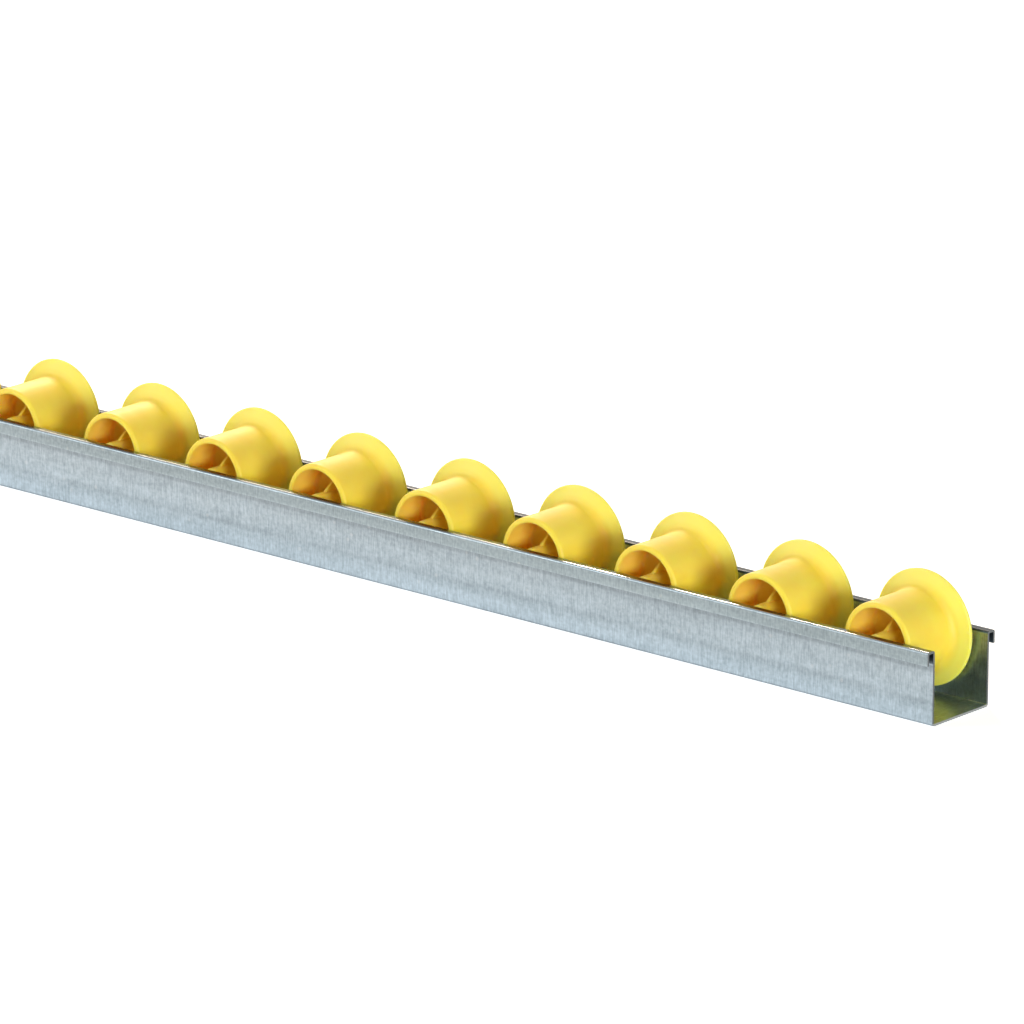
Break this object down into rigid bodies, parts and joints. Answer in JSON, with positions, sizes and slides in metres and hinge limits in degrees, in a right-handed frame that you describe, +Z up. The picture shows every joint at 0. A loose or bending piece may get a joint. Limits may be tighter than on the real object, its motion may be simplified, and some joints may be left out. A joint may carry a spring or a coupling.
{
  "type": "flow rack roller track",
  "caption": "Folded steel channel with outward lips and a row of flanged plastic rollers turning on cross axles, carrying and guiding totes along a flow rack lane.",
  "frame": {"origin": "middle of the underside of the rail, halfway along the track", "axes": "+X along the track, +Y across it towards the rollers' flanges, +Z up"},
  "size_m": [0.5, 0.0356, 0.043],
  "materials": {
    "galvanised_sheet": "hot-dip galvanised sheet, dull spangle",
    "axle_steel": "drawn, zinc plated",
    "roller_plastic": "moulded, satin"
  },
  "bodies": {
    "track": {"rail": "galvanised_sheet", "axle_01": "axle_steel", "axle_02": "axle_steel", "axle_03": "axle_steel", "axle_04": "axle_steel", "axle_05": "axle_steel", "axle_06": "axle_steel", "axle_07": "axle_steel", "axle_08": "axle_steel", "axle_09": "axle_steel", "axle_10": "axle_steel"},
    "roller_01_body": {"roller_01": "roller_plastic"},
    "roller_02_body": {"roller_02": "roller_plastic"},
    "roller_03_body": {"roller_03": "roller_plastic"},
    "roller_04_body": {"roller_04": "roller_plastic"},
    "roller_05_body": {"roller_05": "roller_plastic"},
    "roller_06_body": {"roller_06": "roller_plastic"},
    "roller_07_body": {"roller_07": "roller_plastic"},
    "roller_08_body": {"roller_08": "roller_plastic"},
    "roller_09_body": {"roller_09": "roller_plastic"},
    "roller_10_body": {"roller_10": "roller_plastic"}
  },
  "joints": [
    {"name": "roller_01_spin", "type": "hinge", "parent": "track", "child": "roller_01_body", "pos_m": [-0.225, 0, 0.023], "axis": [0, 1, 0], "continuous": true},
    {"name": "roller_02_spin", "type": "hinge", "parent": "track", "child": "roller_02_body", "pos_m": [-0.175, 0, 0.023], "axis": [0, 1, 0], "continuous": true},
    {"name": "roller_03_spin", "type": "hinge", "parent": "track", "child": "roller_03_body", "pos_m": [-0.125, 0, 0.023], "axis": [0, 1, 0], "continuous": true},
    {"name": "roller_04_spin", "type": "hinge", "parent": "track", "child": "roller_04_body", "pos_m": [-0.075, 0, 0.023], "axis": [0, 1, 0], "continuous": true},
    {"name": "roller_05_spin", "type": "hinge", "parent": "track", "child": "roller_05_body", "pos_m": [-0.025, 0, 0.023], "axis": [0, 1, 0], "continuous": true},
    {"name": "roller_06_spin", "type": "hinge", "parent": "track", "child": "roller_06_body", "pos_m": [0.025, 0, 0.023], "axis": [0, 1, 0], "continuous": true},
    {"name": "roller_07_spin", "type": "hinge", "parent": "track", "child": "roller_07_body", "pos_m": [0.075, 0, 0.023], "axis": [0, 1, 0], "continuous": true},
    {"name": "roller_08_spin", "type": "hinge", "parent": "track", "child": "roller_08_body", "pos_m": [0.125, 0, 0.023], "axis": [0, 1, 0], "continuous": true},
    {"name": "roller_09_spin", "type": "hinge", "parent": "track", "child": "roller_09_body", "pos_m": [0.175, 0, 0.023], "axis": [0, 1, 0], "continuous": true},
    {"name": "roller_10_spin", "type": "hinge", "parent": "track", "child": "roller_10_body", "pos_m": [0.225, 0, 0.023], "axis": [0, 1, 0], "continuous": true}
  ]
}
